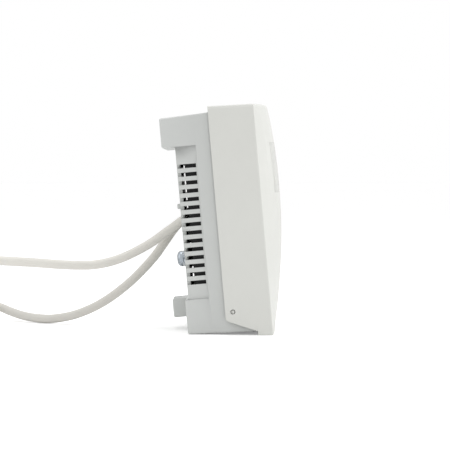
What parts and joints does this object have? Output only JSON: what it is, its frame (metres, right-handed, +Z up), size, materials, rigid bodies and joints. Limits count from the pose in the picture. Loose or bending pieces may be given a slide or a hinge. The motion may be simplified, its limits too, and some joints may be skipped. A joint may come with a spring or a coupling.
{
  "type": "programmable timer",
  "caption": "Wall-mounted programmable timer: vented rear housing with a snap foot, domed hinged cover with a display window, push buttons, a mode slider and flying leads.",
  "frame": {"origin": "middle of the footprint of the timer without its leads, on the table that it stands on", "axes": "+Z up, -Y towards the front that the cover faces, +X to the right of someone behind the timer looking at its back, with the timer leaning back by about 5 degrees"},
  "size_m": [0.157, 0.2742, 0.1375],
  "materials": {
    "housing_white": "fine moulded texture, off-white",
    "cover_white": "fine moulded texture, warm off-white",
    "window_clear": "clear smoked acrylic",
    "chassis_black": "black moulded plastic",
    "tie_black": "woven band",
    "zinc": "bright zinc plate",
    "board_green": "solder-masked laminate",
    "relay_case": "black relay case",
    "capacitor_blue": "sleeved can",
    "terminal_grey": "grey moulded plastic",
    "core_brown": "brown core insulation",
    "core_blue": "blue core insulation",
    "lcd_grey": "grey-green display",
    "key_grey": "grey key caps",
    "key_dark": "dark slider knob",
    "lead_sheath": "pale round flex sheath"
  },
  "bodies": {
    "housing": {"rear_housing": "housing_white", "hinge_pin_left": "cover_white", "hinge_pin_right": "cover_white", "rear_screw": "zinc", "rear_washer": "zinc", "cable_grommet": "housing_white", "chassis_tray": "chassis_black", "main_board": "board_green", "transformer": "chassis_black", "relay": "relay_case", "capacitor": "capacitor_blue", "backup_cell": "zinc", "terminal_block": "terminal_grey", "clamp_bar": "terminal_grey", "clamp_screw_left": "zinc", "clamp_screw_right": "zinc", "supply_wire_brown": "core_brown", "supply_wire_blue": "core_blue", "load_wire_brown": "core_brown", "load_wire_blue": "core_blue", "control_panel": "housing_white", "panel_screw_top_left": "zinc", "panel_screw_top_right": "zinc", "panel_screw_bottom_left": "zinc", "panel_screw_bottom_right": "zinc", "lcd_module": "lcd_grey", "display_board": "board_green", "tact_switch_1": "chassis_black", "tact_switch_2": "chassis_black", "tact_switch_3": "chassis_black", "tact_switch_4": "chassis_black", "mode_switch": "chassis_black", "supply_lead": "lead_sheath", "supply_coil": "lead_sheath", "supply_tie": "tie_black", "supply_core_brown": "core_brown", "supply_core_blue": "core_blue", "supply_ferrule_brown": "zinc", "supply_ferrule_blue": "zinc", "load_lead": "lead_sheath", "load_coil": "lead_sheath", "load_tie": "tie_black", "load_core_brown": "core_brown", "load_core_blue": "core_blue", "load_ferrule_brown": "zinc", "load_ferrule_blue": "zinc"},
    "cover": {"front_cover": "cover_white", "display_window": "window_clear"},
    "menu_key": {"button_menu": "key_grey"},
    "down_key": {"button_down": "key_grey"},
    "up_key": {"button_up": "key_grey"},
    "ok_key": {"button_ok": "key_grey"},
    "slider": {"mode_slider": "key_dark"}
  },
  "joints": [
    {"name": "cover_hinge", "type": "hinge", "parent": "housing", "child": "cover", "pos_m": [0, -0.00678, 0.01387], "axis": [1, 0, 0], "range_deg": [0, 90]},
    {"name": "menu_press", "type": "slide", "parent": "housing", "child": "menu_key", "axis": [0, 0.9962, -0.087], "range_m": [0, 0.001], "stiffness_N_per_m": 1500, "springref_m": -0.0002},
    {"name": "down_press", "type": "slide", "parent": "housing", "child": "down_key", "axis": [0, 0.9962, -0.087], "range_m": [0, 0.001], "stiffness_N_per_m": 1500, "springref_m": -0.0002},
    {"name": "up_press", "type": "slide", "parent": "housing", "child": "up_key", "axis": [0, 0.9962, -0.087], "range_m": [0, 0.001], "stiffness_N_per_m": 1500, "springref_m": -0.0002},
    {"name": "ok_press", "type": "slide", "parent": "housing", "child": "ok_key", "axis": [0, 0.9962, -0.087], "range_m": [0, 0.001], "stiffness_N_per_m": 1500, "springref_m": -0.0002},
    {"name": "mode_slide", "type": "slide", "parent": "housing", "child": "slider", "axis": [1, 0, 0], "range_m": [-0.004, 0.004]}
  ]
}
